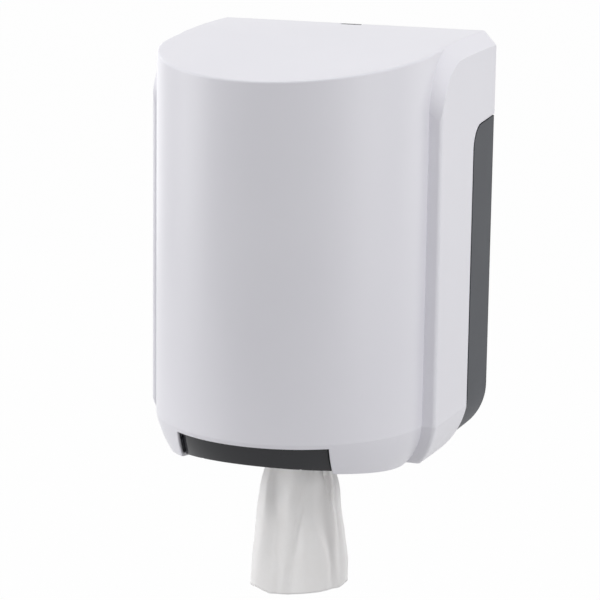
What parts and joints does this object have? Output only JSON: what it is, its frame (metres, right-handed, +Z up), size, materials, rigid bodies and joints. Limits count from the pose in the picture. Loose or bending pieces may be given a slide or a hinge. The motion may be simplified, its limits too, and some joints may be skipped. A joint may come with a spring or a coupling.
{
  "type": "centrefeed roll dispenser",
  "caption": "Wall-hung centrefeed paper roll dispenser: white round-fronted cover hinged at its foot, grey base, smoked outlet window and a folded paper tail.",
  "frame": {"origin": "centre of the four wall screw holes, on the back face of the base", "axes": "+X to the viewer's right, +Y into the wall, +Z up"},
  "size_m": [0.25, 0.236, 0.46],
  "materials": {
    "cover_white": "smooth white moulding",
    "base_grey": "fine matt grey moulding",
    "smoked_window": "polished smoked moulding",
    "bush_nylon": "natural nylon",
    "nozzle_grey": "grey moulding",
    "grip_rubber": "grooved rubber",
    "pin_steel": "zinc-plated steel",
    "paper": "soft embossed tissue"
  },
  "bodies": {
    "cover": {"front_cover": "cover_white", "hinge_bush_left": "bush_nylon", "hinge_bush_right": "bush_nylon", "cover_catch": "pin_steel"},
    "base": {"back_base": "base_grey", "roll_shelf": "base_grey", "front_window": "smoked_window", "hinge_pin_left": "pin_steel", "hinge_pin_right": "pin_steel", "hinge_clips": "pin_steel", "shelf_screws": "pin_steel", "window_screws": "pin_steel", "lock_plate": "base_grey", "lock_screws": "pin_steel", "bolt_spring": "pin_steel", "paper_roll": "paper", "paper_strand": "paper", "paper_tail": "paper"},
    "nozzle": {"outlet_nozzle": "nozzle_grey", "grip_ring": "grip_rubber"},
    "lock": {"lock_bolt": "base_grey"}
  },
  "joints": [
    {"name": "cover_hinge", "type": "hinge", "parent": "base", "child": "cover", "pos_m": [0, -0.022, -0.158], "axis": [1, 0, 0], "range_deg": [0, 100]},
    {"name": "nozzle_twist", "type": "hinge", "parent": "base", "child": "nozzle", "pos_m": [0, -0.12318, -0.14], "axis": [0, 0, 1], "range_deg": [0, 60]},
    {"name": "lock_slide", "type": "slide", "parent": "base", "child": "lock", "axis": [0, 0, -1], "range_m": [0, 0.003]}
  ]
}
